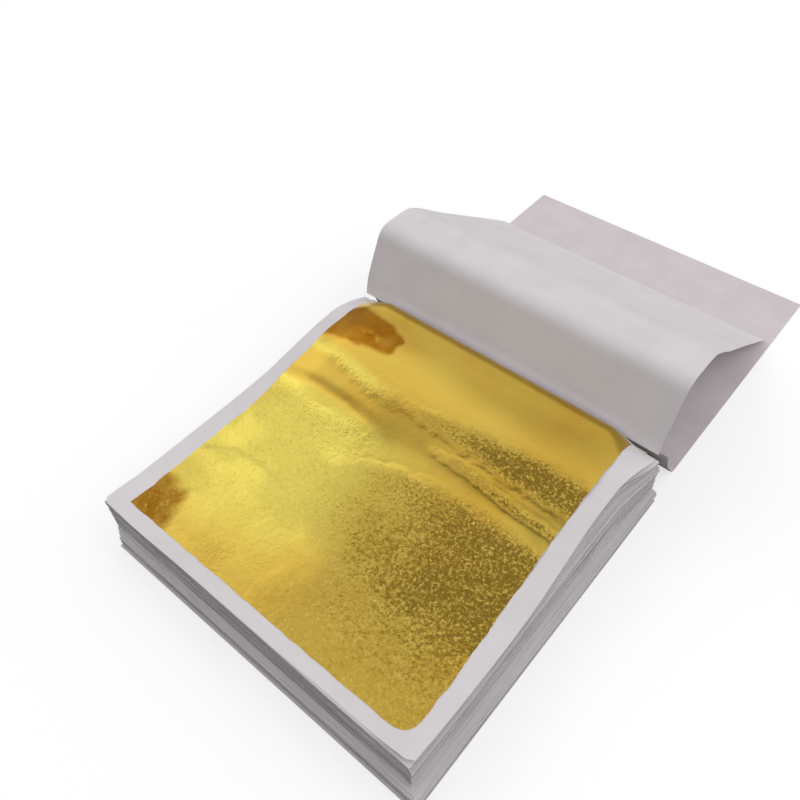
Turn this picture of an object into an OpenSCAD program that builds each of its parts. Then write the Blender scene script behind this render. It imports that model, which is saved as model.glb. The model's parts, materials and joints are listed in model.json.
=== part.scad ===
// Gold leaf booklet: a glued block of thin square leaves with a metal foil on each,
// and two sheets, the interleaf and the cover, turned over the glued spine.
// Millimetres. The block stands on z = 0 with its centre on the z axis.
// The spine is at +y, the fore-edge at -y.

/* [Leaves] */
// Width of a leaf, along the spine
page_w = 90; // [60:1:160]
// Depth of a leaf, from fore-edge to spine
page_d = 88; // [70:1:160]
// Thickness of a leaf
leaf_t = 0.11; // [0.08:0.01:0.12]
// Number of leaves in the block, the top one included
leaf_count = 100; // [30:10:150]
// Height from one leaf to the next
leaf_pitch = 0.14; // [0.14:0.01:0.2]
// How far the leaves' free edges wander
leaf_wander = 0.22; // [0:0.02:0.5]

/* [Foils] */
// Thickness of the solid that stands in for a foil
foil_t = 0.02; // [0.01:0.005:0.025]
// Bare margin at each side of a foil
side_margin = 5; // [2:0.5:12]
// Bare margin at the fore-edge
front_margin = 3.7; // [1:0.1:8]
// Distance from the glue at which a foil ends
gutter_margin = 2.3; // [1:0.1:8]
// How far the foils' edges wander
foil_wander = 0.5; // [0:0.1:1.5]

/* [Back sheet and spine] */
// Thickness of the back sheet
back_t = 0.25; // [0.15:0.05:1]
// How far the back sheet passes the lowest leaf at the fore-edge and the sides
back_over = 0.4; // [0:0.1:2]
// Thickness of the glue along the spine
glue_t = 0.45; // [0.2:0.05:1]

/* [Lower leaves] */
// Height of the lower leaves that slid to one side
lower_h = 3.2; // [1:0.1:6]
// Height over which the slide fades out
lower_fade = 1.2; // [0.2:0.1:4]
// Sideways slide of the lower leaves
lower_slide = 2.4; // [0:0.1:4]
// How far the lower leaves reach past the others at the fore-edge
lower_reach = 1.7; // [0:0.1:4]

/* [Arch by the spine] */
// Height of the top leaf's arch
arch_h = 4.6; // [2:0.1:6]
// Height of the arch in the leaf below the top one
arch_below = 2.9; // [0.5:0.1:4]
// Number of leaves under the top leaf that arch
arch_count = 24; // [8:1:29]
// Distance from the spine to where the arch begins
arch_start = 50; // [40:1:60]
// Distance from the spine to the front of the crest
crest_front = 12; // [8:1:20]
// Distance from the spine to the back of the crest
crest_back = 2.5; // [1.5:0.1:4]
// Height left in the arch at the glue
arch_end = 0.8; // [0.2:0.1:1.5]

/* [Interleaf, turned back] */
// Thickness of the interleaf and the cover
sheet_t = 0.12; // [0.08:0.01:0.2]
// Gap in a sheet at each line where it bends
bend_gap = 0.1; // [0.08:0.01:0.2]
// Length of the strip that is held in the gutter
interleaf_hinge_l = 5.8; // [5:0.1:7]
// Length of the rising strip
interleaf_riser_l = 13.2; // [11:0.2:15]
// Length of the strip across the top of the bend
interleaf_bend_l = 11; // [8:0.5:14]
// Lean of the strip in the gutter, from flat towards the back
interleaf_hinge_a = 74; // [68:1:80]
// Lean of the rising strip
interleaf_riser_a = 62.5; // [56:0.5:70]
// Lean of the strip across the top
interleaf_bend_a = 1; // [-6:1:6]
// Gap between the interleaf's free edge and the cover
edge_gap = 0.15; // [0.08:0.01:0.5]

/* [Cover, turned back] */
// How much longer the cover is than a leaf
cover_over = 7.5; // [0:0.5:12]
// Sideways shift of the cover
cover_shift = 2; // [0:0.1:4]
// Length of the strip that leads down to the table
cover_bend_l = 11; // [9:0.5:13]
// Lean of the strip in the gutter, below flat
cover_hinge_a = -70; // [-78:1:-66]
// Lean of the strip that leads down to the table
cover_bend_a = -52; // [-58:1:-44]

/* [Gutter] */
// Distance from the glue to the line where the interleaf turns
interleaf_axis_y = 0.25; // [0.2:0.05:0.6]
// Distance between the lines where the interleaf and the cover turn
axis_step = 0.8; // [0.5:0.1:1.2]
// Height of the interleaf's line above the block
interleaf_axis_z = 1; // [0.9:0.1:1.5]
// Height of the cover's line above the block
cover_axis_z = 0.8; // [0.7:0.1:1.3]

/* [Hidden] */

PAPER = [0.87, 0.86, 0.88];
COVER_PAPER = [0.84, 0.80, 0.82];
GOLD = [0.85, 0.68, 0.24];
GLUE = [0.90, 0.89, 0.84];

group_count = 10;
group_leaves = leaf_count / group_count;
last = leaf_count - 1;
spine_y = page_d / 2;
foil_w = page_w - 2 * side_margin;
foil_d = page_d - front_margin - gutter_margin;
cover_l = page_d + cover_over;
block_h = back_t + last * leaf_pitch + leaf_t;
foil_lift = (leaf_pitch - leaf_t - foil_t) / 2;
rise_steps = 14;
fall_steps = 6;

// Height of leaf i's underside
function leaf_z(i) = back_t + i * leaf_pitch;

// A number from -1 to 1 that differs from leaf to leaf
function scatter(i, seed) = sin(i * 137.5 + seed * 71);

// 1 for the lower leaves, 0 above them
function lower(i) = max(0, min(1, (lower_h + lower_fade - leaf_z(i)) / lower_fade));

function leaf_x(i) = lower_slide * lower(i) + leaf_wander * scatter(i, 1);
function leaf_front(i) = -spine_y - lower_reach * lower(i) - leaf_wander * (1 + scatter(i, 2)) / 2;
function foil_x(i) = leaf_x(i) + foil_wander * scatter(i, 3);
function foil_front(i) = -spine_y + front_margin + foil_wander * scatter(i, 4);

// Height of the arch in leaf i: the top leaf's own, then less with each leaf below
function arch_of(i) = i == last ? arch_h
    : max(0, arch_below * (1 - (last - 1 - i) / arch_count));

// Smooth step from 0 to 1
function ease(t) = t * t * (3 - 2 * t);

// Points of the arch from the front of its rise to the glue, as [y, height]
function arch_points(h) = [
    for (k = [0 : rise_steps])
        let (t = k / rise_steps)
        [spine_y - arch_start + t * (arch_start - crest_front), h * ease(t)],
    for (k = [0 : fall_steps])
        let (a = 90 * k / fall_steps, low = min(h, arch_end))
        [spine_y - crest_back + crest_back * sin(a), low + (h - low) * cos(a)]
];

// Points of the arch up to the distance d from the spine, where a foil ends
function arch_points_to(h, d) = [
    for (p = arch_points(h)) if (p[0] < spine_y - d) p,
    [spine_y - d, h]
];

// Outline of a sheet of thickness t from y_front along the arch points
function sheet_outline(y_front, points, t) = concat(
    [[y_front, 0]], points,
    [for (k = [len(points) - 1 : -1 : 0]) points[k] + [0, t]],
    [[y_front, t]]
);

// A sheet w wide whose side view is the outline, with its middle at x
module arched_sheet(x, z, w, outline) {
    translate([x - w / 2, 0, z])
        rotate([90, 0, 90])
            linear_extrude(height = w)
                polygon(outline);
}

module leaf(i) {
    h = arch_of(i);
    if (h > 0)
        arched_sheet(leaf_x(i), leaf_z(i), page_w,
            sheet_outline(leaf_front(i), arch_points(h), leaf_t));
    else
        translate([leaf_x(i) - page_w / 2, leaf_front(i), leaf_z(i)])
            cube([page_w, spine_y - leaf_front(i), leaf_t]);
}

module foil(i) {
    h = arch_of(i);
    z = leaf_z(i) + leaf_t + foil_lift;
    back = spine_y - foil_front(i) - foil_d;
    if (h > 0)
        arched_sheet(foil_x(i), z, foil_w,
            sheet_outline(foil_front(i), arch_points_to(h, max(back, crest_back)), foil_t));
    else
        translate([foil_x(i) - foil_w / 2, foil_front(i), z])
            cube([foil_w, foil_d, foil_t]);
}

// Leaves of group g, counted from 1 at the bottom, without the top leaf
module leaf_group(g) {
    color(PAPER)
        for (i = [(g - 1) * group_leaves : min(g * group_leaves, last) - 1])
            leaf(i);
}

// Foils that lie on the leaves of group g, without the top foil
module foil_group(g) {
    color(GOLD)
        for (i = [(g - 1) * group_leaves : min(g * group_leaves, last) - 1])
            foil(i);
}

module top_leaf() {
    color(PAPER) leaf(last);
}

module top_gold_leaf() {
    color(GOLD) foil(last);
}

module back_sheet() {
    w = page_w + 2 * back_over;
    d = page_d + lower_reach + leaf_wander + back_over;
    color(COVER_PAPER)
        translate([lower_slide - w / 2, spine_y - d, 0])
            cube([w, d, back_t]);
}

// Glue down the spine, as wide as the leaves share
module spine_glue() {
    side = lower_slide + leaf_wander;
    color(GLUE)
        translate([side - page_w / 2, spine_y, 0])
            cube([page_w - 2 * side, glue_t, block_h]);
}

// Where a strip of length l that leans by a from point p ends, as [y, z]
function along(p, l, a) = p + l * [cos(a), sin(a)];

// Lines where the interleaf bends, from the gutter to its panel
interleaf_p0 = [spine_y + glue_t + interleaf_axis_y, block_h + interleaf_axis_z];
interleaf_p1 = along(interleaf_p0, interleaf_hinge_l, interleaf_hinge_a);
interleaf_p2 = along(interleaf_p1, interleaf_riser_l, interleaf_riser_a);
interleaf_p3 = along(interleaf_p2, interleaf_bend_l, interleaf_bend_a);
interleaf_panel_l = page_d - interleaf_hinge_l - interleaf_riser_l - interleaf_bend_l;
interleaf_panel_a = -asin((interleaf_p3[1] - 1.5 * sheet_t - edge_gap) / interleaf_panel_l);

// Lines where the cover bends, from the gutter to the panel that lies on the table
cover_p0 = interleaf_p0 + [axis_step, cover_axis_z - interleaf_axis_z];
cover_hinge_l = (cover_p0[1] - sheet_t / 2 + cover_bend_l * sin(cover_bend_a))
    / -sin(cover_hinge_a);
cover_p1 = along(cover_p0, cover_hinge_l, cover_hinge_a);
cover_p2 = along(cover_p1, cover_bend_l, cover_bend_a);
cover_panel_l = cover_l - cover_hinge_l - cover_bend_l;

// A flat strip from the line p, of length l and width w, that leans by a
module strip(p, l, a, w, x = 0) {
    translate([x - w / 2, p[0], p[1]])
        rotate([a, 0, 0])
            translate([0, bend_gap / 2, -sheet_t / 2])
                cube([w, l - bend_gap, sheet_t]);
}

module interleaf_hinge() {
    color(PAPER) strip(interleaf_p0, interleaf_hinge_l, interleaf_hinge_a, page_w);
}

module interleaf_riser() {
    color(PAPER) strip(interleaf_p1, interleaf_riser_l, interleaf_riser_a, page_w);
}

module interleaf_bend() {
    color(PAPER) strip(interleaf_p2, interleaf_bend_l, interleaf_bend_a, page_w);
}

module interleaf_panel() {
    color(PAPER) strip(interleaf_p3, interleaf_panel_l, interleaf_panel_a, page_w);
}

module cover_hinge() {
    color(COVER_PAPER) strip(cover_p0, cover_hinge_l, cover_hinge_a, page_w, cover_shift);
}

module cover_bend() {
    color(COVER_PAPER) strip(cover_p1, cover_bend_l, cover_bend_a, page_w, cover_shift);
}

module cover_panel() {
    color(COVER_PAPER) strip(cover_p2, cover_panel_l, 0, page_w, cover_shift);
}

back_sheet();
spine_glue();
leaf_group(1);  // leaves_01
leaf_group(2);  // leaves_02
leaf_group(3);  // leaves_03
leaf_group(4);  // leaves_04
leaf_group(5);  // leaves_05
leaf_group(6);  // leaves_06
leaf_group(7);  // leaves_07
leaf_group(8);  // leaves_08
leaf_group(9);  // leaves_09
leaf_group(10);  // leaves_10
foil_group(1);  // foils_01
foil_group(2);  // foils_02
foil_group(3);  // foils_03
foil_group(4);  // foils_04
foil_group(5);  // foils_05
foil_group(6);  // foils_06
foil_group(7);  // foils_07
foil_group(8);  // foils_08
foil_group(9);  // foils_09
foil_group(10);  // foils_10
top_leaf();
top_gold_leaf();
interleaf_hinge();
interleaf_riser();
interleaf_bend();
interleaf_panel();
cover_hinge();
cover_bend();
cover_panel();
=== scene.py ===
# %% [markdown]
# # A booklet of gold leaf, opened at its first page
# The booklet is a glued block of a hundred thin paper leaves, each with a foil on it.
# Two sheets, the interleaf and the cover, are turned back over the glued spine.
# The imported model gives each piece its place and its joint. This script gives the pieces
# their looks: paper that flares and bows, a foil full of fine crinkles, and soft folds.

# %% Load the frame
import json
import math

import bpy
import numpy as np
from mathutils import Matrix, Vector


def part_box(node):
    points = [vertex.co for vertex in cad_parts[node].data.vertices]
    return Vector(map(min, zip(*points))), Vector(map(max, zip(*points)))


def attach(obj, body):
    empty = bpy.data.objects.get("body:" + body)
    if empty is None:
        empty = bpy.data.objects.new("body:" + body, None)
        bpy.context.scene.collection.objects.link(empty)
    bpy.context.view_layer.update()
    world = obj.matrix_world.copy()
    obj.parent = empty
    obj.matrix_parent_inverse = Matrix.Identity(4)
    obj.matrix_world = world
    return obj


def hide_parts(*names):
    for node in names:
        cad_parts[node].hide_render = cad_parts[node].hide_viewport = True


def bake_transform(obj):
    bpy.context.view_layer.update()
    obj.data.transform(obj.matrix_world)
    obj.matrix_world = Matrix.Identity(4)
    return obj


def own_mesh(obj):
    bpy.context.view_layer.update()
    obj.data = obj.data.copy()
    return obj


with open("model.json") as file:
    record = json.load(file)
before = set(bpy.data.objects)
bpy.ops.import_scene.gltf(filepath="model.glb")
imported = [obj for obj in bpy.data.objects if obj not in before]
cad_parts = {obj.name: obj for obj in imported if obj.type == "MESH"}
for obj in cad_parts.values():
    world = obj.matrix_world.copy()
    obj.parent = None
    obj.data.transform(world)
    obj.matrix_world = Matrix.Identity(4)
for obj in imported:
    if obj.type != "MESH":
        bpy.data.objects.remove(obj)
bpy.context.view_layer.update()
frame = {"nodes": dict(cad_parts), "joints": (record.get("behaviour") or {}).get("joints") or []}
MM = 0.001

# %% [markdown]
# ## Sizes
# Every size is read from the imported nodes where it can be, so the looks follow the part.
# The page is centred on the frame's z axis, the spine is at +y and the fore-edge at -y.
# The record's joints say on which lines the two turned sheets bend.

# %% Sizes from the frame, in millimetres
def node_box(name):
    low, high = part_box(name)
    return np.array(low) / MM, np.array(high) / MM


leaf_low, leaf_high = node_box("top_leaf")
foil_low, foil_high = node_box("top_gold_leaf")
page_w = leaf_high[0] - leaf_low[0]
page_mid = (leaf_high[0] + leaf_low[0]) / 2
spine_y = leaf_high[1]
page_front = leaf_low[1]
page_z = leaf_low[2]
leaf_t, sheet_t, foil_t = 0.11, 0.12, 0.02
# nominal flat sizes: depth of a leaf, width and depth of a foil
LEAF_D, FOIL_W, FOIL_D = 88.0, 80.0, 84.0
crest_h = leaf_high[2] - leaf_low[2] - leaf_t
hinge_line = {
    j["name"]: np.array(j["pos_m"][1:]) / MM for j in frame["joints"] if j["type"] == "hinge"
}
print(f"page {page_w:.1f} mm wide, front {page_front:.2f}, spine {spine_y:.2f}, crest {crest_h:.2f}")
print("fold lines (y, z):", {k: v.round(2).tolist() for k, v in hinge_line.items()})

# %% [markdown]
# ## Noise and meshes
# Paper edges wander and a foil crinkles at random, but each run has to give the same model.
# So the noise is a table of random numbers from a fixed seed, blended smoothly between its
# cells, which numpy can evaluate for a whole grid of points at once.

# %% Smooth noise over a grid
def smooth_noise(x, y, seed, cells=64):
    """Numbers from -1 to 1 that change smoothly over one unit of x and y."""
    table = np.random.default_rng(seed).uniform(-1, 1, (cells, cells))
    xi, yi = np.floor(x).astype(int), np.floor(y).astype(int)
    fx, fy = x - xi, y - yi
    fx, fy = (f * f * f * (f * (f * 6 - 15) + 10) for f in (fx, fy))
    corner = lambda i, j: table[(xi + i) % cells, (yi + j) % cells]
    low = corner(0, 0) * (1 - fx) + corner(1, 0) * fx
    high = corner(0, 1) * (1 - fx) + corner(1, 1) * fx
    return low * (1 - fy) + high * fy


def layered_noise(x, y, seed, layers):
    """Noise at several scales: each layer is half the size and half the strength."""
    total = sum(smooth_noise(x * 2**k, y * 2**k, seed + k) / 2**k for k in range(layers))
    return total / (2 - 2 ** (1 - layers))


def smooth_step(low, high, value):
    t = np.clip((value - low) / (high - low), 0, 1)
    return t * t * (3 - 2 * t)


# %% Thin solids from a grid of points
def thin_solid(name, top, thickness, material, patch=None):
    """A closed thin solid below a grid of points in mm, with its flat size kept as a UV map."""
    rows, cols = top.shape[:2]
    du = np.gradient(top, axis=0)
    dv = np.gradient(top, axis=1)
    normal = np.cross(du, dv)
    normal /= np.linalg.norm(normal, axis=-1, keepdims=True)
    if normal[rows // 2, cols // 2, 2] < 0:
        normal = -normal
    points = np.concatenate([top.reshape(-1, 3), (top - normal * thickness).reshape(-1, 3)])
    index = np.arange(rows * cols).reshape(rows, cols)
    quad = np.stack([index[:-1, :-1], index[1:, :-1], index[1:, 1:], index[:-1, 1:]], -1).reshape(-1, 4)
    rim = np.concatenate([index[:, 0], index[-1, 1:], index[-2::-1, -1], index[0, -2:0:-1]])
    after = np.roll(rim, -1)
    below = rows * cols
    wall = np.stack([rim, rim + below, after + below, after], -1)
    faces = np.concatenate([quad, quad[:, ::-1] + below, wall])
    # turn every face over if the first one looks inwards
    a, b, c = points[quad[0, 0]], points[quad[0, 1]], points[quad[0, 2]]
    if np.dot(np.cross(b - a, c - a), normal[0, 0]) < 0:
        faces = faces[:, ::-1]
    mesh = bpy.data.meshes.new(name)
    mesh.from_pydata((points * MM).tolist(), [], faces.tolist())
    flat = patch if patch is not None else top[..., :2]
    uv = np.tile(flat.reshape(-1, 2), (2, 1))[faces.ravel()] * MM
    mesh.uv_layers.new(name="Flat").data.foreach_set("uv", uv.ravel())
    cut = mesh.attributes.new("cut_edge", "FLOAT", "FACE")
    cut.data.foreach_set("value", np.r_[np.zeros(2 * len(quad)), np.ones(len(wall))])
    mesh.polygons.foreach_set("use_smooth", np.ones(len(faces), bool))
    mesh.set_sharp_from_angle(angle=math.radians(50))
    mesh.validate()
    piece = bpy.data.objects.new(name, mesh)
    bpy.context.scene.collection.objects.link(piece)
    mesh.materials.append(material)
    print(f"{name}: {len(faces) * 2} triangles")
    return piece


# %% [markdown]
# ## The page's own shape
# The top leaf isn't flat. It was opened a moment ago, so it still arches up in front of the
# spine, most in the middle of its width, and it comes down early at its two side edges.
# Its two front corners flare a little. One function gives the height at any point, so that
# the leaf, the foil on it and the leaves below it all share one shape.

# %% Height of the arch
RISE_START = spine_y - 50.0
RISE_END = spine_y - 13.0
EDGE_W = 12.0
EDGE_CREST = 0.955
MIDDLE_CREST = 1.26
EDGE_FALL_START = spine_y - 14.0
MIDDLE_FALL_START = spine_y - 4.6
GLUE_LIFT = 0.8


def arch(x, y):
    """Height of the top leaf's arch in mm at a point of the page."""
    inside = smooth_step(page_w / 2, page_w / 2 - EDGE_W, np.abs(x))
    crest = crest_h * (EDGE_CREST + (MIDDLE_CREST - EDGE_CREST) * inside)
    fall_start = EDGE_FALL_START + (MIDDLE_FALL_START - EDGE_FALL_START) * inside
    u = np.clip((y - fall_start) / (spine_y - fall_start), 0, 1)
    fall = (1 - inside) * np.cos(u * math.pi / 2) + inside * np.sqrt(1 - u**2.2)
    rise = smooth_step(RISE_START, RISE_END, y)
    return crest * rise * fall + GLUE_LIFT * inside * (1 - fall)


# %% Flared corners and small ripples
DRAW_RIGHT, DRAW_LEFT, LEAVES_DRAW_RIGHT = 1.5, 0.4, 2.3
FLARE, FLARE_REACH = 1.0, 11.0
FRONT_WANDER, FRONT_SET_BACK = 0.25, 0.8


def flare(x, y):
    """How far the page's two front corners lift, in mm."""
    lift = 0
    for side in (-1, 1):
        far = np.hypot(x - side * page_w / 2, (y - page_front) * 0.8)
        lift = lift + FLARE * smooth_step(FLARE_REACH, 1.5, far)
    return lift


def page_height(x, y):
    ripple = 0.10 * layered_noise(x / 26 + 3, y / 21 + 7, 11, 2)
    away_from_glue = smooth_step(spine_y, spine_y - 8, y)
    return arch(x, y) + flare(x, y) + ripple * away_from_glue


def page_place(u, v):
    """The point of the page at u across and v along, each from 0 to 1, seen from above."""
    y = page_front + (spine_y - page_front) * v
    draw_right = DRAW_RIGHT * smooth_step(-18, 22, y) * smooth_step(44, 26, y)
    draw_left = DRAW_LEFT * smooth_step(-10, 20, y) * smooth_step(44, 26, y)
    left = page_mid - page_w / 2 + draw_left
    right = page_mid + page_w / 2 - draw_right
    x = left + (right - left) * u
    y = y + FRONT_WANDER * smooth_noise(x / 17, x * 0 + 5, 21) * smooth_step(0.25, 0, v)
    y = y + FRONT_SET_BACK * smooth_step(0.5, 0.9, u) * smooth_step(0.25, 0, v)
    return x, y


print("crest in the middle:", round(float(arch(np.array(0.0), np.array(39.0))), 2), "mm")

# %% [markdown]
# ## Paper
# The leaves are thin uncoated paper. Close up it isn't one flat colour: fibres make it
# mottled at the scale of a tenth of a millimetre, and clouds of denser pulp at the scale
# of a centimetre. The same pattern drives a very shallow bump, which breaks up the shine.
# A procedural pattern on object coordinates needs no image and lies still on the piece.

# %% Node helpers
def new_material(name):
    material = bpy.data.materials.new(name)
    material.use_nodes = True
    tree = material.node_tree
    return material, tree, tree.nodes["Principled BSDF"]


def node(tree, kind, **settings):
    made = tree.nodes.new(kind)
    for key, value in settings.items():
        if key.startswith("in_"):
            made.inputs[key[3:].replace("_", " ")].default_value = value
        else:
            setattr(made, key, value)
    return made


def feed(tree, socket, value):
    """Set a socket to a number or a colour, or link another node's output to it."""
    if isinstance(value, bpy.types.NodeSocket):
        tree.links.new(value, socket)
    else:
        socket.default_value = value


def math_node(tree, operation, a, b=None, c=None, clamp=False):
    made = node(tree, "ShaderNodeMath", operation=operation, use_clamp=clamp)
    for socket, value in zip(made.inputs, (a, b, c)):
        if value is not None:
            feed(tree, socket, value)
    return made.outputs[0]


def range_node(tree, value, low, high, to_low=0.0, to_high=1.0, smooth=False):
    """The value mapped from low..high to to_low..to_high and clamped there."""
    made = node(tree, "ShaderNodeMapRange", interpolation_type="SMOOTHSTEP" if smooth else "LINEAR")
    names = ("Value", "From Min", "From Max", "To Min", "To Max")
    for name, given in zip(names, (value, low, high, to_low, to_high)):
        feed(tree, made.inputs[name], given)
    return made.outputs["Result"]


def mix_node(tree, share, first, second, kind="RGBA"):
    """Two colours or two numbers mixed by a share."""
    made = node(tree, "ShaderNodeMix", data_type=kind)
    at = 6 if kind == "RGBA" else 2
    for k, value in ((0, share), (at, first), (at + 1, second)):
        feed(tree, made.inputs[k], value)
    return made.outputs[2 if kind == "RGBA" else 0]


def tint_node(tree, value, low, low_color, high, high_color):
    """A colour ramp from one tint to another."""
    made = node(tree, "ShaderNodeValToRGB")
    for k, (position, color) in enumerate(((low, low_color), (high, high_color))):
        stop = made.color_ramp.elements[k]
        stop.position, stop.color = position, color
    feed(tree, made.inputs["Fac"], value)
    return made.outputs["Color"]


def noise_node(tree, vector, scale, detail, roughness=0.5, stretch=None):
    """Noise at a vector, whose axes can be stretched first."""
    if stretch:
        mapped = node(tree, "ShaderNodeMapping", in_Scale=stretch)
        feed(tree, mapped.inputs["Vector"], vector)
        vector = mapped.outputs["Vector"]
    made = node(tree, "ShaderNodeTexNoise", in_Scale=scale, in_Detail=detail, in_Roughness=roughness)
    feed(tree, made.inputs["Vector"], vector)
    return made.outputs["Fac"]


def mask_node(tree, name):
    """A mesh attribute, read in a material."""
    return node(tree, "ShaderNodeAttribute", attribute_name=name).outputs["Fac"]


def add_bump(tree, shader, height, strength, distance):
    bump = node(tree, "ShaderNodeBump", in_Strength=strength, in_Distance=distance)
    feed(tree, bump.inputs["Height"], height)
    feed(tree, shader.inputs["Normal"], bump.outputs["Normal"])


def linear(r, g, b):
    """Screen colour to the linear colour that a shader reads."""
    return tuple(c / 12.92 if c <= 0.04045 else ((c + 0.055) / 1.055) ** 2.4 for c in (r, g, b)) + (1,)


# %% Paper material
# painted shade: a cut edge is painted greyer than the sheet's face, because light is lost in the gaps of the stack
CUT_DARK = linear(0.56, 0.56, 0.56)
CUT_LIGHT = linear(0.60, 0.595, 0.60)


def paper_material(name, light, dark, roughness):
    """Uncoated paper between two near colours, with pulp clouds and fibres."""
    material, tree, shader = new_material(name)
    place = node(tree, "ShaderNodeTexCoord").outputs["Object"]
    cloud = noise_node(tree, place, 90.0, 4.0, 0.6)
    fibre = noise_node(tree, place, 2600.0, 3.0, 0.7, stretch=(1.0, 0.35, 1.0))
    streak = noise_node(tree, place, 1.0, 2.0, stretch=(35.0, 35.0, 4200.0))
    face = tint_node(tree, math_node(tree, "MULTIPLY_ADD", fibre, 0.4, cloud), 0.45, dark, 0.85, light)
    # painted shade: the cut edges get a greyer colour, a little different on each leaf
    grey = tint_node(tree, streak, 0.3, CUT_DARK, 0.7, CUT_LIGHT)
    feed(tree, shader.inputs["Base Color"], mix_node(tree, mask_node(tree, "cut_edge"), face, grey))
    add_bump(tree, shader, fibre, 0.25, 0.00004)
    shader.inputs["Roughness"].default_value = roughness
    shader.inputs["Specular IOR Level"].default_value = 0.25
    return material


leaf_paper = paper_material("leaf paper", linear(0.93, 0.915, 0.925), linear(0.90, 0.885, 0.895), 0.78)
cover_paper = paper_material("cover paper", linear(0.90, 0.865, 0.875), linear(0.86, 0.825, 0.84), 0.7)
print("paper materials:", leaf_paper.name, "and", cover_paper.name)

# %% [markdown]
# ## Gold foil and glue
# The foil is bare metal, so its colour comes from the base colour and its light mostly from
# what it mirrors. Its base colour also holds painted light: painted shade on dark grains, in
# amber patches and along a dent, a painted lemon-yellow highlight, and painted glints on the
# grains. The crinkles that can be seen one by one are in the mesh. Below their size the metal
# is still grained, which a bump gives, and its sheen changes in patches where the foil was
# rubbed smooth. The glue is a dull, slightly lumpy film.

# %% Gold material
# painted light in the foil's colour: the lemon yellow is a painted highlight, the glint colour paints glints, the
# shade colour and the amber paint shade
GOLD_HIGHLIGHT = linear(0.93, 0.86, 0.40)
GOLD_BRIGHT = linear(0.825, 0.71, 0.315)
GOLD_DEEP = linear(0.80, 0.655, 0.265)
GOLD_GLINT = linear(0.98, 0.90, 0.50)
GOLD_SHADE = linear(0.56, 0.455, 0.17)
AMBER_SHADE = linear(0.60, 0.39, 0.06)
GRAIN_DEPTH = 0.00032
DARK_GRAINS, DARK_GAIN, DARK_FULL = (0.38, 0.62), 1.35, 0.55
BRIGHT_GRAINS, BRIGHT_SHARE = (0.55, 0.68), 0.65
FOIL_ROUGHNESS = (0.22, 0.36)


def gold_material(name):
    """Bare metal foil that reads the masks for its crinkles, its painted shade and its painted highlight."""
    material, tree, shader = new_material(name)
    place = node(tree, "ShaderNodeTexCoord").outputs["Object"]
    fine = noise_node(tree, place, 1500.0, 4.0, 0.8)
    coarse = noise_node(tree, place, 800.0, 3.0, 0.7)
    patch = noise_node(tree, place, 55.0, 3.0)
    grains = mask_node(tree, "crinkled")
    color = tint_node(tree, patch, 0.35, GOLD_DEEP, 0.7, GOLD_BRIGHT)
    # painted highlight: lemon yellow where the foil should mirror bright light
    color = mix_node(tree, mask_node(tree, "painted_highlight"), color, GOLD_HIGHLIGHT)
    # painted shade: amber where the foil should mirror dark, and along the dent
    color = mix_node(tree, mask_node(tree, "painted_amber_shade"), color, AMBER_SHADE)
    # painted shade: the more a spot is shaded, the more of its grains are painted dark, one by one
    darker = math_node(tree, "MULTIPLY", mask_node(tree, "shaded"), DARK_GAIN)
    left_over = math_node(tree, "SUBTRACT", darker, range_node(tree, fine, *DARK_GRAINS))
    color = mix_node(tree, range_node(tree, left_over, 0.0, DARK_FULL), color, GOLD_SHADE)
    # painted highlight: the grains that stick out furthest get a glint colour, as if they catch the light
    often = range_node(tree, grains, 0.0, 0.6, 0.0, BRIGHT_SHARE)
    bright = math_node(tree, "MULTIPLY", range_node(tree, fine, *BRIGHT_GRAINS), often)
    feed(tree, shader.inputs["Base Color"], mix_node(tree, bright, color, GOLD_GLINT))
    feed(tree, shader.inputs["Roughness"], range_node(tree, patch, 0.0, 1.0, *FOIL_ROUGHNESS))
    height = math_node(tree, "MULTIPLY_ADD", coarse, 1.6, fine)
    deep = math_node(tree, "MULTIPLY", height, range_node(tree, grains, 0.0, 1.0, 0.05, 1.0))
    add_bump(tree, shader, deep, 1.0, GRAIN_DEPTH)
    shader.inputs["Metallic"].default_value = 1.0
    return material


gold = gold_material("gold foil")

# %% Glue material
def glue_material(name):
    material, tree, shader = new_material(name)
    lump = noise_node(tree, node(tree, "ShaderNodeTexCoord").outputs["Object"], 420.0, 3.0)
    tint = tint_node(tree, lump, 0.3, linear(0.82, 0.80, 0.72), 0.75, linear(0.90, 0.89, 0.84))
    feed(tree, shader.inputs["Base Color"], tint)
    add_bump(tree, shader, lump, 0.5, 0.0002)
    shader.inputs["Roughness"].default_value = 0.45
    return material


glue = glue_material("spine glue")
print("glue and gold made")

# %% [markdown]
# ## The block of leaves
# Ninety-nine leaves lie under the top one. They differ only in where they lie and how much
# they arch, so one thin leaf is made once and Geometry Nodes set a copy on each point of a
# cloud that holds one point per leaf. After the copies are real, the same tree lifts each
# by its own share of the arch and lets its free edges wander.

# %% One thin leaf to copy
def flat_leaf(name, width, depth, thickness, cols=16, rows=26):
    """A thin closed slab centred on x, from y = -depth to 0, its underside at z = 0."""
    x = np.linspace(-width / 2, width / 2, cols + 1)
    y = -depth * (1 - np.linspace(0, 1, rows + 1) ** 0.8)
    grid = np.stack(np.meshgrid(x, y, indexing="ij") + [np.full((cols + 1, rows + 1), thickness)], -1)
    return thin_solid(name, grid, thickness, leaf_paper)


# %% Where each leaf lies
GROUPS = [f"leaves_{g:02d}" for g in range(1, 11)]
FOIL_GROUPS = [f"foils_{g:02d}" for g in range(1, 11)]
back_top = node_box("back_sheet")[1][2]
leaf_total = 100
pitch = (page_z - back_top) / (leaf_total - 1)
# the lowest leaves have slid to the right and forward, and the highest ones arch
LOWER_TOP, LOWER_FADE, LOWER_SLIDE, LOWER_REACH = 3.2, 1.2, 2.4, 1.7
ARCHED_LEAVES = 24
# the groups above the slid ones spread at the glue; free edges wander (in metres)
SLID_GROUPS, SPREAD, EDGE_WANDER = 3, 1.1, 0.00022
top_share = 2.3 / crest_h
wander = np.random.default_rng(5)


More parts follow.
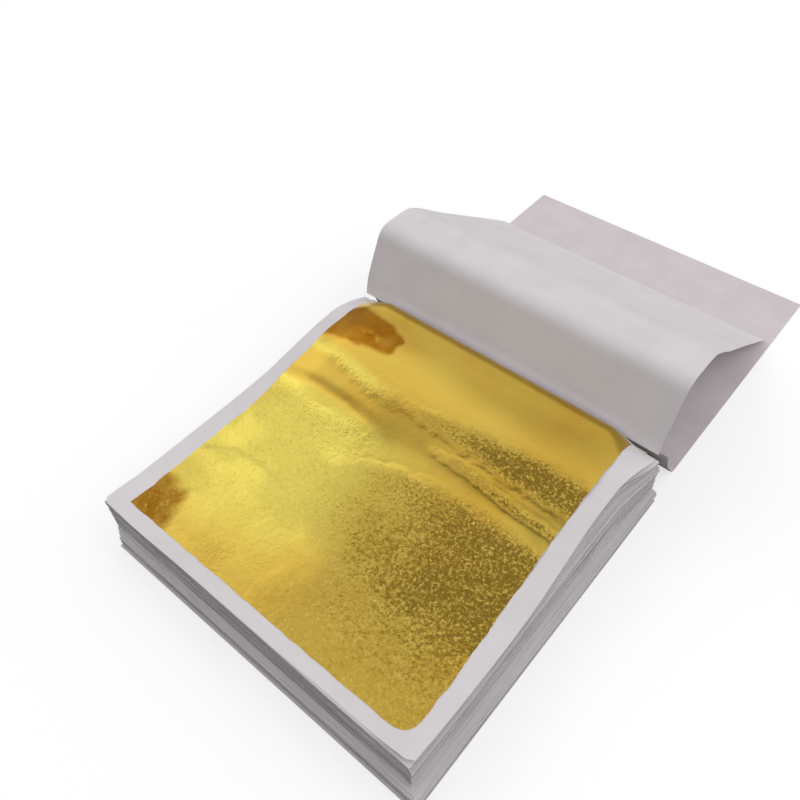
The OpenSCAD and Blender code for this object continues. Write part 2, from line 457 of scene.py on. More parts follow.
def leaf_state(i):
    """Place and arch of leaf i, counted from 0 at the bottom: x, front edge, z and share of the arch."""
    z = back_top + i * pitch
    low = np.clip((LOWER_TOP + LOWER_FADE - z) / LOWER_FADE, 0, 1)
    bundle = 0.16 * math.sin(i * 0.9) + 0.12 * math.sin(i * 0.37 + 2)
    x = LOWER_SLIDE * low + bundle + wander.uniform(-0.08, 0.08)
    front = page_front + 0.1 - LOWER_REACH * low - wander.uniform(0, 0.07)
    share = top_share * max(0, 1 - (leaf_total - 2 - i) / ARCHED_LEAVES)
    # a few bundles lie a little to one side, and the lowest leaves lie less evenly
    x += 0.35 * (76 < i < 81) - 0.3 * (i > 84) + 0.25 * (44 < i < 48) + wander.uniform(-0.25, 0.25) * (i < 30)
    return x, front, z, share


states = [leaf_state(i) for i in range(leaf_total - 1)]
print("leaf pitch", round(pitch, 4), "mm; lowest and highest leaf", np.round(states[0], 2), np.round(states[-1], 2))


# %% The tree that copies and bends the leaves
def step_node(tree, value, low, high):
    return range_node(tree, value, low, high, smooth=True)


def attribute_node(tree, name):
    made = node(tree, "GeometryNodeInputNamedAttribute", data_type="FLOAT")
    made.inputs["Name"].default_value = name
    return made.outputs["Attribute"]


def arch_field(tree, x, y):
    """The arch function of the page, built from nodes, in metres."""
    inside = step_node(tree, math_node(tree, "ABSOLUTE", x), page_w / 2 * MM, (page_w / 2 - EDGE_W) * MM)
    higher, later = MIDDLE_CREST - EDGE_CREST, MIDDLE_FALL_START - EDGE_FALL_START
    crest = math_node(tree, "MULTIPLY_ADD", inside, crest_h * higher * MM, crest_h * EDGE_CREST * MM)
    start = math_node(tree, "MULTIPLY_ADD", inside, later * MM, EDGE_FALL_START * MM)
    along = math_node(tree, "SUBTRACT", y, start)
    reach = math_node(tree, "SUBTRACT", spine_y * MM, start)
    u = math_node(tree, "DIVIDE", along, reach, clamp=True)
    soft = math_node(tree, "COSINE", math_node(tree, "MULTIPLY", u, math.pi / 2))
    steep = math_node(tree, "SQRT", math_node(tree, "SUBTRACT", 1.0, math_node(tree, "POWER", u, 2.2)))
    fall = mix_node(tree, inside, soft, steep, "FLOAT")
    rise = step_node(tree, y, RISE_START * MM, RISE_END * MM)
    hill = math_node(tree, "MULTIPLY", math_node(tree, "MULTIPLY", crest, rise), fall)
    lift = math_node(tree, "MULTIPLY", inside, GLUE_LIFT * MM)
    foot = math_node(tree, "MULTIPLY", math_node(tree, "SUBTRACT", 1.0, fall), lift)
    return math_node(tree, "ADD", hill, foot)


# %% Build the stack's tree
def stack_tree(name, material):
    tree = bpy.data.node_groups.new(name, "GeometryNodeTree")
    face = tree.interface
    face.new_socket("Geometry", in_out="INPUT", socket_type="NodeSocketGeometry")
    face.new_socket("Leaf", in_out="INPUT", socket_type="NodeSocketObject")
    face.new_socket("Edge wander", in_out="INPUT", socket_type="NodeSocketFloat")
    face.new_socket("Seed", in_out="INPUT", socket_type="NodeSocketFloat")
    face.new_socket("Geometry", in_out="OUTPUT", socket_type="NodeSocketGeometry")
    link = tree.links.new
    given, result = node(tree, "NodeGroupInput"), node(tree, "NodeGroupOutput")
    leaf = node(tree, "GeometryNodeObjectInfo")
    copies = node(tree, "GeometryNodeInstanceOnPoints")
    real = node(tree, "GeometryNodeRealizeInstances")
    lift, place = node(tree, "GeometryNodeSetPosition"), node(tree, "GeometryNodeInputPosition")
    split, join = node(tree, "ShaderNodeSeparateXYZ"), node(tree, "ShaderNodeCombineXYZ")
    link(given.outputs["Leaf"], leaf.inputs["Object"])
    link(given.outputs["Geometry"], copies.inputs["Points"])
    link(leaf.outputs["Geometry"], copies.inputs["Instance"])
    link(copies.outputs["Instances"], real.inputs["Geometry"])
    link(place.outputs["Position"], split.inputs["Vector"])
    x, y, z = split.outputs
    share = attribute_node(tree, "share")
    # an edge wanders by a noise that runs along it and differs from leaf to leaf
    spread = node(tree, "ShaderNodeCombineXYZ")
    link(math_node(tree, "MULTIPLY", x, 60.0), spread.inputs["X"])
    link(math_node(tree, "MULTIPLY", y, 60.0), spread.inputs["Y"])
    link(math_node(tree, "ADD", math_node(tree, "MULTIPLY", z, 9000.0), given.outputs["Seed"]), spread.inputs["Z"])
    centred = math_node(tree, "SUBTRACT", noise_node(tree, spread.outputs["Vector"], 1.0, 2.0), 0.5)
    swing = math_node(tree, "MULTIPLY", centred, given.outputs["Edge wander"])
    near_side = step_node(tree, math_node(tree, "ABSOLUTE", x), (page_w / 2 - 7) * MM, page_w / 2 * MM)
    near_front = step_node(tree, y, (page_front + 7) * MM, page_front * MM)
    # an arched leaf's right edge draws in a little further than the top page's, which shades it
    bowed = math_node(tree, "MULTIPLY", step_node(tree, y, -30 * MM, 20 * MM), step_node(tree, y, 44 * MM, 26 * MM))
    on_right = step_node(tree, x, 10 * MM, 44 * MM)
    arched = math_node(tree, "MULTIPLY", math_node(tree, "MULTIPLY", on_right, bowed), share)
    inward = math_node(tree, "MULTIPLY", arched, LEAVES_DRAW_RIGHT / top_share * MM)
    # and the free leaves spread a little where the glue grips them
    at_glue = math_node(tree, "MULTIPLY", on_right, step_node(tree, y, 26 * MM, 42 * MM))
    outward = math_node(tree, "MULTIPLY", at_glue, attribute_node(tree, "spread"))
    sideways = math_node(tree, "SUBTRACT", math_node(tree, "MULTIPLY", swing, near_side), inward)
    link(math_node(tree, "ADD", sideways, outward), join.inputs["X"])
    to_front = step_node(tree, y, spine_y * MM, page_front * MM)
    drawn = math_node(tree, "MULTIPLY", attribute_node(tree, "reach"), to_front)
    link(math_node(tree, "SUBTRACT", math_node(tree, "MULTIPLY", swing, near_front), drawn), join.inputs["Y"])
    link(math_node(tree, "MULTIPLY", arch_field(tree, x, y), share), join.inputs["Z"])
    link(real.outputs["Geometry"], lift.inputs["Geometry"])
    link(join.outputs["Vector"], lift.inputs["Offset"])
    paint = node(tree, "GeometryNodeSetMaterial")
    paint.inputs["Material"].default_value = material
    link(lift.outputs["Geometry"], paint.inputs["Geometry"])
    link(paint.outputs["Geometry"], result.inputs["Geometry"])
    return tree


# %% Run the tree on one group of leaves
def socket_id(tree, name):
    return next(s.identifier for s in tree.interface.items_tree if s.name == name and s.in_out == "INPUT")


def stack_piece(name, tree, leaf, places, edge_wander, seed):
    """One mesh that holds a copy of the leaf at each place, made real."""
    cloud = bpy.data.meshes.new(name + "_points")
    cloud.from_pydata([(x * MM, y * MM, z * MM) for x, y, z, *_ in places], [], [])
    for name_of, k in (("share", 3), ("reach", 4), ("spread", 5)):
        kept = cloud.attributes.new(name_of, "FLOAT", "POINT")
        kept.data.foreach_set("value", [p[k] for p in places])
    holder = bpy.data.objects.new(name + "_points", cloud)
    bpy.context.scene.collection.objects.link(holder)
    modifier = holder.modifiers.new("Stack", "NODES")
    modifier.node_group = tree
    modifier[socket_id(tree, "Leaf")] = leaf
    modifier[socket_id(tree, "Edge wander")] = edge_wander
    modifier[socket_id(tree, "Seed")] = float(seed)
    bpy.context.view_layer.update()
    evaluated = holder.evaluated_get(bpy.context.evaluated_depsgraph_get())
    mesh = bpy.data.meshes.new_from_object(evaluated)
    holder.modifiers.remove(modifier)
    bpy.data.objects.remove(holder)
    piece = bpy.data.objects.new(name, mesh)
    bpy.context.scene.collection.objects.link(piece)
    mesh.polygons.foreach_set("use_smooth", np.zeros(len(mesh.polygons), bool))
    return piece


# %% Make the ten groups of leaves and of foils
leaf_shape = flat_leaf("leaf_shape", page_w, spine_y - page_front - 0.1, leaf_t)
foil_w = foil_high[0] - foil_low[0]
foil_shape = flat_leaf("foil_shape", foil_w, FOIL_D - 2.0, foil_t, cols=12, rows=22)
paper_stack, foil_stack = stack_tree("Leaf stack", leaf_paper), stack_tree("Foil stack", gold)
foil_back = spine_y - 2.4
for g, name in enumerate(GROUPS):
    mine = states[g * 10 : min(g * 10 + 10, leaf_total - 1)]
    spread = SPREAD * MM if g >= SLID_GROUPS else 0.0
    leaves = [(x, spine_y - 0.02, z, share, (page_front - front) * MM, spread) for x, front, z, share in mine]
    block = stack_piece("block_" + name, paper_stack, leaf_shape, leaves, EDGE_WANDER, g)
    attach(block, "block")
    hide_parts(name)
    foils = [(x, foil_back, z + leaf_t + 0.006, share, 0.0, 0.0) for x, _, z, share in mine]
    inner = stack_piece("block_" + FOIL_GROUPS[g], foil_stack, foil_shape, foils, 0.0, g)
    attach(inner, "block")
    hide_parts(FOIL_GROUPS[g])
bpy.data.objects.remove(leaf_shape)
bpy.data.objects.remove(foil_shape)
print("triangles in one group:", sum(len(p.vertices) - 2 for p in block.data.polygons))

# %% [markdown]
# ## The top leaf
# The page that carries the visible foil. A grid of points follows the page's height
# function, and a second grid a leaf's thickness below closes it into a thin solid.

# %% Top leaf
u, v = np.meshgrid(np.linspace(0, 1, 121), np.linspace(0, 1, 141), indexing="ij")
x, y = page_place(u, v)
round_off = sum(0.9 * np.maximum(0, 1 - np.hypot(side * page_w, v * LEAF_D) / 1.6) for side in (u, 1 - u))
page_top = np.stack([x, y + round_off, page_z + leaf_t + page_height(x, y)], -1)
top_leaf = thin_solid("page_top_leaf", page_top, leaf_t, leaf_paper)
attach(top_leaf, "block")
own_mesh(top_leaf)
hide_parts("top_leaf")

# %% [markdown]
# ## The gold leaf
# The loose foil on the page is the piece that everybody looks at. It is thinner than a
# hair's hundredth, so it takes every crease: soft ridges that run with the spine where the
# page arches, a smooth pulled band next to the spine, and a skin of grains about a
# millimetre across over the front and right half. All of this is real height in a dense
# grid, because only real facets mirror the light in the broken way that foil does.

# %% Lines on the foil
def line_y(x, points):
    """y of a line through (x, y) points of the page."""
    return np.interp(x, [point[0] for point in points], [point[1] for point in points])


def between(low, high, value, soft):
    return smooth_step(low - soft, low + soft, value) * smooth_step(high + soft, high - soft, value)


# the foil climbs from the foot to the top of one broad rise, and has a small crack before it
RISE_FOOT = ((-18, 17.2), (-4, 16.0), (5, 15.6), (16, 14.9), (26, 14.6), (39, 14.4))
RISE_TOP = ((-18, 18.4), (-5, 18.6), (4, 20.2), (15, 21.6), (27, 23.0), (39, 23.8))
CRACK = ((4, 12.0), (16, 12.0), (28, 10.6), (39, 10.4))
FIELD_TOP = ((-12, -3.5), (-7, 0.5), (2, 3.2), (13, 5.2), (26, 5.7), (39, 5.4))
# x of the field's left border at given y
FIELD_LEFT = ((-44, 10), (-35, 9), (-24, 9), (-20, 4), (-17, -1), (-12, -8), (-2, -12))
DENT = ((-40, 10.0), (-30, 10.6), (-20, 10.5), (-11, 9.4))
STREAK = ((-40, 19.4), (-31, 19.2), (-17, 17.0), (-8, 17.0))
CREASE = ((-39, -19.3), (-33, -15.3), (-26, -14.6), (-18, -15.3), (-11, -18.5), (-1, -16.3))


# %% Folds that run with the spine
RISE_HEIGHT, STEP_HEIGHT, SHELF_HEIGHT = 0.66, 0.40, 0.45
SADDLE_HEIGHT, STREAK_HEIGHT = 0.32, 0.20
DENT_DEPTH, CREASE_DEPTH = 0.25, 0.12


def folds(x, y):
    """Height of the long soft folds, in mm."""
    sway = y + 0.4 * layered_noise(x / 11 + 5, y / 40, 101, 2)
    foot, top, crack = line_y(x, RISE_FOOT), line_y(x, RISE_TOP), line_y(x, CRACK)
    ease = 0.55 + 0.45 * smooth_step(42, 27, x)
    rise = smooth_step(foot - 0.5, top + 0.8, sway) * smooth_step(top + 15, top + 1, sway)
    step = smooth_step(crack - 1.0, crack + 0.9, sway) * smooth_step(crack + 4.8, crack + 0.9, sway)
    streak = np.exp(-(((sway - line_y(x, STREAK)) / 1.6) ** 2)) * smooth_step(-6, -18, x)
    dent = np.exp(-(((sway - line_y(x, DENT)) / 1.3) ** 2)) * smooth_step(-8, -18, x)
    crease = np.exp(-(((sway - line_y(x, CREASE)) / 0.8) ** 2)) * smooth_step(0, -8, x)
    shelf = smooth_step(-4, 5, sway) * smooth_step(crack - 0.9, 5.5, sway)
    total = RISE_HEIGHT * rise * smooth_step(-20, 26, x)
    total += STEP_HEIGHT * step * smooth_step(2, 22, x)
    total += SHELF_HEIGHT * shelf * smooth_step(-6, 16, x)
    saddle = SADDLE_HEIGHT * np.exp(-(((sway - 10) / 5.5) ** 2)) * smooth_step(-2, -16, x)
    return ease * total + STREAK_HEIGHT * streak + saddle - DENT_DEPTH * dent - CREASE_DEPTH * crease


# %% Where the foil is crinkled, and where shade and highlights are painted on it
def crinkled(x, y):
    """From 0 where the foil lies smooth to 1 where it is all grains."""
    cloud = layered_noise(x / 9, y / 9, 71, 3)
    nick = layered_noise(x / 2.2, y / 2.2, 73, 2)
    top_side = smooth_step(2.2, -2.6, y - line_y(x, FIELD_TOP) + 0.8 * nick)
    left_side = smooth_step(-18, 8, x - line_y(y, FIELD_LEFT) + 7 * cloud)
    field = top_side * left_side * (0.55 + 0.45 * smooth_step(-36, -22, y + 0.2 * x))
    rise = between(line_y(x, RISE_FOOT) + 0.6, line_y(x, RISE_TOP), y + 0.6 * nick, 1.6) * smooth_step(-13, 0, x)
    crack = between(line_y(x, CRACK) - 0.7, line_y(x, CRACK) + 0.7, y + 0.4 * nick, 1.0) * smooth_step(2, 12, x)
    lemon = (0.24 + 0.24 * smooth_step(-0.3, 0.4, cloud)) * smooth_step(9, 3, y)
    lemon = lemon * (0.5 + 0.5 * smooth_step(-36, -22, y)) * smooth_step(2, -12, x)
    streak = 0.2 * between(line_y(x, STREAK) - 1.6, line_y(x, STREAK) + 2.6, y + nick, 1.6) * smooth_step(-6, -16, x)
    crease = 0.6 * np.exp(-(((y - line_y(x, CREASE) + 0.5 * nick) / 1.2) ** 2)) * smooth_step(2, -6, x)
    corner = 0.4 * smooth_step(14, 8, np.hypot(x + 40, y + 40))
    return np.clip(np.maximum.reduce([field, rise, crack, lemon, streak, crease, corner]), 0, 1)


def shaded(x, y):
    """From 0 to 1 where the foil leans away from the light and its grains darken each other."""
    cloud = layered_noise(x / 8, y / 5, 131, 3)
    nick = layered_noise(x / 2.2, y / 2.2, 73, 2)
    deep = smooth_step(-10, 36, x + 8 * cloud) * smooth_step(-40, -12, y + 4 * cloud)
    field = (0.18 + 0.58 * deep) * smooth_step(2.2, -2.6, y - line_y(x, FIELD_TOP) + 0.8 * nick)
    field = field * smooth_step(-16, 12, x - line_y(y, FIELD_LEFT) + 7 * cloud)
    rise = between(line_y(x, RISE_FOOT) + 1.0, line_y(x, RISE_TOP) - 0.5, y + 0.6 * nick, 1.8)
    rise = (0.35 + 0.42 * smooth_step(-4, 26, x)) * rise * smooth_step(-10, 8, x)
    crack = between(line_y(x, CRACK) - 0.6, line_y(x, CRACK) + 0.6, y + 0.4 * nick, 1.1) * smooth_step(8, 30, x)
    lemon = 0.13 * smooth_step(12, 5, y) * smooth_step(-36, -20, y) * smooth_step(4, -12, x)
    return np.clip(np.maximum.reduce([field, rise, 0.8 * crack, lemon]), 0, 1)


PATCH_LOW = ((-41, 23.2), (-37, 23.6), (-30, 24.8), (-20, 27.0))
PATCH_HIGH = ((-41, 35.0), (-37, 37.2), (-30, 36.0), (-20, 33.0))


def painted_amber_shade(x, y):
    """From 0 on bright foil to 1 in the two amber patches of painted shade on its left side, with weaker painted
    shade along the dent.
    """
    wobble = layered_noise(x / 3, y / 2, 111, 3)
    back = between(line_y(x, PATCH_LOW), line_y(x, PATCH_HIGH), y + 0.9 * wobble, 0.8)
    back = back * smooth_step(-20.2, -21.8, x + wobble)
    back = back * (0.92 + 0.2 * layered_noise(x / 4, y / 5, 113, 2))
    far = (np.abs((x + 41) / 11.5) ** 3 + np.abs((y + 41.5) / 13.0) ** 3) ** (1 / 3)
    corner = smooth_step(1.12, 0.80, far + 0.14 * layered_noise(x / 2.5, y / 4, 115, 3))
    corner = corner * (0.80 + 0.25 * layered_noise(x / 2, y / 2.4, 117, 2))
    # painted highlight: the amber is left out at a small spot where the foil sparks
    glint = np.exp(-(np.hypot((x + 28) / 3.4, (y - 28.8 + 0.22 * (x + 28)) / 1.1) ** 2))
    glint = glint * smooth_step(-0.1, 0.2, wobble)
    # painted shade: a weaker amber along the dent
    dent = 0.30 * np.exp(-(((y - line_y(x, DENT)) / 1.5) ** 2)) * smooth_step(-10, -20, x)
    return np.clip(np.maximum.reduce([back, corner, dent]), 0, 1) * (1 - 0.9 * glint)


def painted_highlight(x, y):
    """From 0 on the ochre parts of the foil to 1 where a lemon-yellow painted highlight lies, in a broad glow and
    along the streak.
    """
    glow = smooth_step(1.25, 0.35, np.hypot((x + 25) / 31, (y + 8) / 31) + 0.15 * layered_noise(x / 9, y / 9, 121, 2))
    streak = between(line_y(x, STREAK) - 1.2, line_y(x, STREAK) + 2.2, y, 1.4) * smooth_step(-10, -22, x)
    return np.maximum(glow * smooth_step(13, 6, y), 0.7 * streak)


SWELL_HEIGHT, GRAIN_HEIGHT, SPARK_HEIGHT, LEAST_GRAIN = 0.13, 0.16, 0.24, 0.006


def crinkle(x, y):
    """Height of the grains and the foil's own swell, in mm."""
    warp = 0.5 * layered_noise(x / 9, y / 9, 31, 2)
    grain = 0.5 - np.abs(layered_noise((x + warp) / 1.9, (y + warp) / 1.3, 51, 2))
    spark = np.exp(-(np.hypot((x + 28) / 2.6, (y - 28.8) / 1.7) ** 2))
    inner = smooth_step(42, 30, np.abs(x)) * smooth_step(40, 32, y) * smooth_step(-40, -30, y)
    swell = SWELL_HEIGHT * (1 + 0.7 * layered_noise(x / 30 + 2, y / 8, 81, 2)) * inner
    return swell + (GRAIN_HEIGHT * crinkled(x, y) + SPARK_HEIGHT * spark + LEAST_GRAIN) * (grain - 0.25)


# %% Outline of the foil and its mesh
def ragged(t, seed, size):
    """A torn edge: mostly straight, with short nicks."""
    base = layered_noise(t * 26 + seed, t * 0 + seed * 3.1, seed, 3)
    return size * base


FOIL_RIGHT_FRONT = 41.3
FOIL_RIGHT_BACK = 39.1
FOIL_CELLS = 214
u, v = np.meshgrid(*[np.linspace(0, 1, FOIL_CELLS + 1)] * 2, indexing="ij")
left = foil_low[0] - 0.3 - 0.6 * v + ragged(v, 3, 0.35)
right = FOIL_RIGHT_FRONT - (FOIL_RIGHT_FRONT - FOIL_RIGHT_BACK) * smooth_step(0, 0.62, v) + ragged(v, 4, 0.3)
front = foil_low[1] + 0.1 + ragged(u, 5, 0.22)
back = foil_high[1] + 1.0 + ragged(u, 6, 0.1)
x = left + (right - left) * u
y = front + (back - front) * v
# the foil's front right corner is torn round
round_off = 1.1 * np.maximum(0, 1 - np.hypot((1 - u) * FOIL_W, v * FOIL_D) / 5) ** 2
x, y = x - round_off, y + round_off
print("foil from", foil_low.round(2), "to", foil_high.round(2))
edge = np.minimum(np.minimum(u, 1 - u) * FOIL_W, np.minimum(v, 1 - v) * FOIL_D)
hold = smooth_step(0, 1.5, edge)
height = page_height(x, y) + 0.05 + folds(x, y) + hold * crinkle(x, y)
height = np.maximum(height, page_height(x, y) + 0.03)
skin = np.stack([x, y, page_z + leaf_t + height], -1)
gold_leaf = thin_solid("gold_leaf_foil", skin, foil_t, gold)
for mask in (crinkled, painted_amber_shade, painted_highlight, shaded):
    layer = gold_leaf.data.attributes.new(mask.__name__, "FLOAT", "POINT")
    layer.data.foreach_set("value", np.tile(mask(x, y).ravel(), 2))
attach(gold_leaf, "gold_leaf")
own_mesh(gold_leaf)
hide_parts("top_gold_leaf")

# %% [markdown]
# ## The turned sheets
# Interleaf and cover are one sheet of paper each, but in the part each is a row of flat
# strips with hinges. Here each is drawn as one smooth curve, cut across the middle of every
# strip. The first cut piece is attached to the sheet's first body, and the others stay where
# they are drawn.

# %% Smooth side views of both sheets
def curve_through(points, count=400):
    """A smooth curve through points in the y-z plane, with even steps (Catmull-Rom)."""
    p = np.array(points, float)
    p = np.vstack([2 * p[0] - p[1], p, 2 * p[-1] - p[-2]])
    out = []
    for a, b, c, d in zip(p[:-3], p[1:-2], p[2:-1], p[3:]):
        ta = 0
        tb = ta + np.linalg.norm(b - a) ** 0.5
        tc = tb + np.linalg.norm(c - b) ** 0.5
        td = tc + np.linalg.norm(d - c) ** 0.5
        t = np.linspace(tb, tc, 60, endpoint=False)[:, None]
        a1 = (tb - t) / (tb - ta) * a + (t - ta) / (tb - ta) * b
        a2 = (tc - t) / (tc - tb) * b + (t - tb) / (tc - tb) * c
        a3 = (td - t) / (td - tc) * c + (t - tc) / (td - tc) * d
        b1 = (tc - t) / (tc - ta) * a1 + (t - ta) / (tc - ta) * a2
        b2 = (td - t) / (td - tb) * a2 + (t - tb) / (td - tb) * a3
        out.append((tc - t) / (tc - tb) * b1 + (t - tb) / (tc - tb) * b2)
    out = np.vstack(out + [p[-2][None]])
    run = np.r_[0, np.cumsum(np.linalg.norm(np.diff(out, axis=0), axis=1))]
    s = np.linspace(0, run[-1], count)
    return np.stack([np.interp(s, run, out[:, k]) for k in (0, 1)], -1), s


fold = hinge_line
interleaf_end = node_box("interleaf_panel")[1][1]
cover_end = node_box("cover_panel")[1][1]
interleaf_points = [
    fold["interleaf_turn"], (45.35, 18.38), (45.83, 20.02), (46.55, 21.83), (49.53, 27.97), (51.63, 31.71),
    (53.72, 32.94), (57.87, 33.07), (63.29, 32.62), (67.72, 30.26), (74.85, 25.06), (83.91, 18.88),
    (93.8, 12.24), (102.3, 6.53), (107.74, 2.87), (interleaf_end - 0.2, 0.48),
]
cover_points = [
    fold["cover_turn"], (46.64, 11.85), fold["cover_bend_turn"] + [0.05, 0.25], (50.2, 5.5), (52.9, 1.75),
    (54.8, 0.24), (57.0, 0.09), (60.0, 0.07), (80.0, 0.06), (100.0, 0.06), (118.0, 0.06), (cover_end - 0.1, 0.06),
]
print("interleaf bends at", interleaf_points[2], "and ends at", round(interleaf_end, 1))


# %% Cut a sheet into blended pieces
SHEET_STEP, SHEET_COLUMNS = 0.5, 91


def turned_sheet(prefix, points, hinges, bodies, nodes, wave, material):
    """Make the pieces of one sheet; only the first is attached to a body."""
    low, high = node_box(nodes[-1])
    middle, width = (low[0] + high[0]) / 2, high[0] - low[0]
    line, run = curve_through(points)
    tangent = np.gradient(line, run, axis=0)
    up = np.stack([-tangent[:, 1], tangent[:, 0]], -1)
    at_hinge = [0.0] + [run[np.argmin(np.linalg.norm(line - fold[h], axis=1))] for h in hinges[1:]]
    for k, body in enumerate(bodies):
        begin = 0.0 if k == 0 else (at_hinge[k - 1] + at_hinge[k]) / 2
        end = run[-1] if k == len(bodies) - 1 else (at_hinge[k] + at_hinge[k + 1]) / 2
        steps = max(8, int((end - begin) / SHEET_STEP))
        s = np.linspace(begin, end, steps + 1)
        t = np.linspace(-0.5, 0.5, SHEET_COLUMNS)
        ss, tt = np.meshgrid(s, t, indexing="ij")
        base = np.stack([np.interp(ss, run, line[:, c]) for c in (0, 1)], -1)
        normal = np.stack([np.interp(ss, run, up[:, c]) for c in (0, 1)], -1)
        off = sheet_t / 2 + wave(ss, tt * width)
        x = middle + tt * width
        yz = base + normal * off[..., None]
        top = np.stack([x, yz[..., 0], yz[..., 1]], -1)
        piece = thin_solid(f"{prefix}_{k + 1}", top, sheet_t, material, patch=np.stack([x, ss], -1))
        if k == 0:
            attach(piece, body)
        else:
            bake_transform(piece)
        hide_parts(nodes[k])


# %% Interleaf and cover
def interleaf_wave(s, x):
    return 0.35 * layered_noise(s / 38 + 1, x / 55 + 4, 91, 2) * smooth_step(26, 48, s) * smooth_step(88, 70, s)


def cover_wave(s, x):
    crease = 0.22 * np.exp(-(((s - 31.0) / 0.8) ** 2))
    return crease + 0.12 * np.abs(layered_noise(s / 30, x / 40 + 8, 95, 2)) * smooth_step(20, 40, s)


interleaf_nodes = ["interleaf_hinge", "interleaf_riser", "interleaf_bend", "interleaf_panel"]
cover_nodes = ["cover_hinge", "cover_bend", "cover_panel"]
turned_sheet(
    "interleaf_sheet", interleaf_points,
    ["interleaf_turn", "interleaf_riser_turn", "interleaf_bend_turn", "interleaf_panel_turn"],
    interleaf_nodes, interleaf_nodes, interleaf_wave, leaf_paper,
)
turned_sheet(
    "cover_sheet", cover_points, ["cover_turn", "cover_bend_turn", "cover_panel_turn"],
    cover_nodes, cover_nodes, cover_wave, cover_paper,
)

# %% [markdown]
# ## Back sheet and glue
# These two keep their shape from the part and only get their finish here.

# %% Materials of the kept nodes
for name, material in (("back_sheet", cover_paper), ("spine_glue", glue)):
    kept = frame["nodes"][name]
    kept.data.materials.clear()
    kept.data.materials.append(material)

# %% [markdown]
# ## Floor, lights and camera
# The booklet lies on a plain white floor. To the camera and in the metal's reflection the
# floor is almost white and keeps the booklet's shadow; what it bounces back is grey, so
# that the undersides of the sheets stay soft and not glaring.
# Foil shows what it mirrors, so the light is a pale tent all round: the world gets brighter
# with height, a little more so to the left and less so behind. A dark flag hangs above and
# to the front. Wherever the foil tips up towards it, it goes dark, which draws the folds.
# One large soft lamp on the right lights the cut edges and gives the sheets their shading.
# The camera looks down from the front right.

# %% Floor
FLOOR_REACH, FLOOR_Z = 3.0, -0.00002
FLOOR_BOUNCE, FLOOR_SHADE, FLOOR_GLOW = 0.24, 0.45, 0.66


def make_floor():
    mesh = bpy.data.meshes.new("floor")
    corners = [(x * FLOOR_REACH, y * FLOOR_REACH, FLOOR_Z) for x, y in ((-1, -1), (1, -1), (1, 1), (-1, 1))]
    mesh.from_pydata(corners, [], [(0, 1, 2, 3)])
    floor = bpy.data.objects.new("floor", mesh)
    bpy.context.scene.collection.objects.link(floor)
    material, tree, shader = new_material("white floor")
    bounce = node(tree, "ShaderNodeBsdfDiffuse", in_Color=(FLOOR_BOUNCE, FLOOR_BOUNCE, FLOOR_BOUNCE, 1))
    shade = node(tree, "ShaderNodeBsdfDiffuse", in_Color=(FLOOR_SHADE, FLOOR_SHADE, FLOOR_SHADE, 1))
    glow = node(tree, "ShaderNodeEmission", in_Strength=FLOOR_GLOW)
    ray = node(tree, "ShaderNodeLightPath")
    seen = math_node(tree, "ADD", ray.outputs["Is Camera Ray"], ray.outputs["Is Glossy Ray"], clamp=True)
    white, pick = node(tree, "ShaderNodeAddShader"), node(tree, "ShaderNodeMixShader")
    feed(tree, white.inputs[0], shade.outputs[0])
    feed(tree, white.inputs[1], glow.outputs[0])
    feed(tree, pick.inputs["Fac"], seen)
    feed(tree, pick.inputs[1], bounce.outputs[0])
    feed(tree, pick.inputs[2], white.outputs[0])
    feed(tree, tree.nodes["Material Output"].inputs["Surface"], pick.outputs[0])
    tree.nodes.remove(shader)
    mesh.materials.append(material)


make_floor()

# %% World: a pale tent with a dark flag above
# each pair says where a change begins and ends: in degrees, or as x, y or z of a direction
FLAG_TOWARDS = (-0.07, -0.23, 0.97)
FLAG_ANGLES, FLAG_LEVEL = (42, 14), 0.10
WALL_Z, TENT_TOP = (0.18, 0.80), 1.50
FOOT_Y, TENT_FOOT, TENT_BACK = (0.1, 0.9), 0.06, 0.85
BACK_Y, BACK_LEVEL = (0.25, 0.65), 0.50
LEFT_X, LEFT_LEVEL = (-0.46, -0.72), 1.24
BACKDROP_Z = (0.34, 0.12)


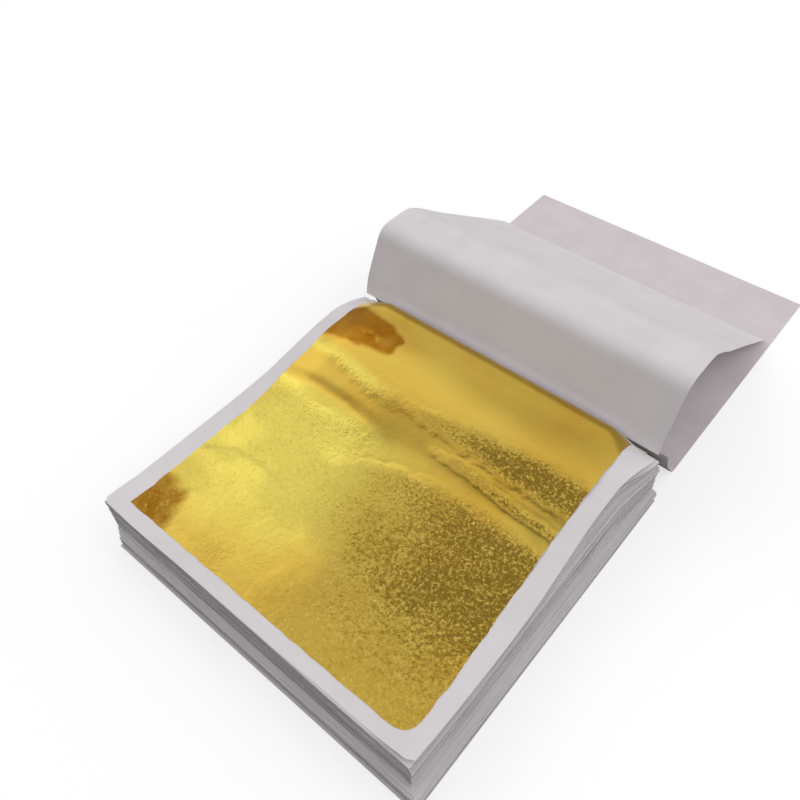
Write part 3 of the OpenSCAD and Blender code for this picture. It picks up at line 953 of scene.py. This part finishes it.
def make_world():
    world = bpy.data.worlds.new("tent")
    bpy.context.scene.world = world
    world.use_nodes = True
    tree = world.node_tree
    sky = tree.nodes["Background"]
    sky.inputs["Color"].default_value = (1.0, 0.985, 0.985, 1)
    look = node(tree, "ShaderNodeTexCoord").outputs["Generated"]
    split = node(tree, "ShaderNodeSeparateXYZ")
    near = node(tree, "ShaderNodeVectorMath", operation="DOT_PRODUCT")
    near.inputs[1].default_value = FLAG_TOWARDS
    feed(tree, split.inputs[0], look)
    feed(tree, near.inputs[0], look)
    x, y, z = split.outputs
    wide, core = (math.cos(math.radians(angle)) for angle in FLAG_ANGLES)
    flag = range_node(tree, near.outputs["Value"], wide, core, 1.0, FLAG_LEVEL, smooth=True)
    foot = range_node(tree, y, *FOOT_Y, TENT_FOOT, TENT_BACK, smooth=True)
    wall = range_node(tree, z, *WALL_Z, foot, TENT_TOP, smooth=True)
    back = range_node(tree, y, *BACK_Y, 1.0, BACK_LEVEL, smooth=True)
    left = range_node(tree, x, *LEFT_X, 1.0, LEFT_LEVEL, smooth=True)
    shaped = math_node(tree, "MULTIPLY", wall, math_node(tree, "MULTIPLY", back, left))
    tent = math_node(tree, "MULTIPLY", flag, shaped)
    # the camera sees a white backdrop; metal mirrors it low down, and the tent above it
    ray = node(tree, "ShaderNodeLightPath")
    low = range_node(tree, z, *BACKDROP_Z, smooth=True)
    mirrored = math_node(tree, "MULTIPLY", ray.outputs["Is Glossy Ray"], low)
    backdrop = math_node(tree, "ADD", ray.outputs["Is Camera Ray"], mirrored, clamp=True)
    feed(tree, sky.inputs["Strength"], mix_node(tree, backdrop, tent, 1.0, "FLOAT"))


make_world()


# %% Lamps
def soft_panel(name, place, aim, size, power):
    lamp = bpy.data.lights.new(name, "AREA")
    lamp.shape = "RECTANGLE"
    lamp.size, lamp.size_y = size
    lamp.energy = power
    holder = bpy.data.objects.new(name, lamp)
    bpy.context.scene.collection.objects.link(holder)
    holder.location = place
    holder.rotation_euler = (Vector(aim) - Vector(place)).to_track_quat("-Z", "Y").to_euler()


soft_panel("right panel", place=(0.75, 1.00, 0.55), aim=(0, 0.05, 0), size=(0.9, 0.9), power=1.9)

# %% Camera
CAMERA_AT = (76.53, -76.33, 165.46)
SENSOR_MM, PICTURE_PX = 36.0, 800
CAMERA_POSE = dict(azimuth=42.52336134, elevation=48.88709114, roll=-2.83749744, focal_px=811.33809832)


def make_camera():
    az, el, roll = (math.radians(CAMERA_POSE[k]) for k in ("azimuth", "elevation", "roll"))
    back = np.array([math.sin(az) * math.cos(el), -math.cos(az) * math.cos(el), math.sin(el)])
    right = np.cross(-back, [0, 0, 1.0])
    right /= np.linalg.norm(right)
    up = np.cross(right, -back)
    right, up = math.cos(roll) * right + math.sin(roll) * up, -math.sin(roll) * right + math.cos(roll) * up
    camera = bpy.data.objects.new("camera", bpy.data.cameras.new("camera"))
    bpy.context.scene.collection.objects.link(camera)
    turn = Matrix([[right[i], up[i], back[i]] for i in range(3)]).to_4x4()
    turn.translation = [c * MM for c in CAMERA_AT]
    camera.matrix_world = turn
    camera.data.sensor_width = SENSOR_MM
    camera.data.lens = CAMERA_POSE["focal_px"] * SENSOR_MM / PICTURE_PX
    camera.data.clip_start, camera.data.clip_end = 0.01, 20.0
    bpy.context.scene.camera = camera


make_camera()
bpy.context.scene.view_settings.view_transform = "Standard"
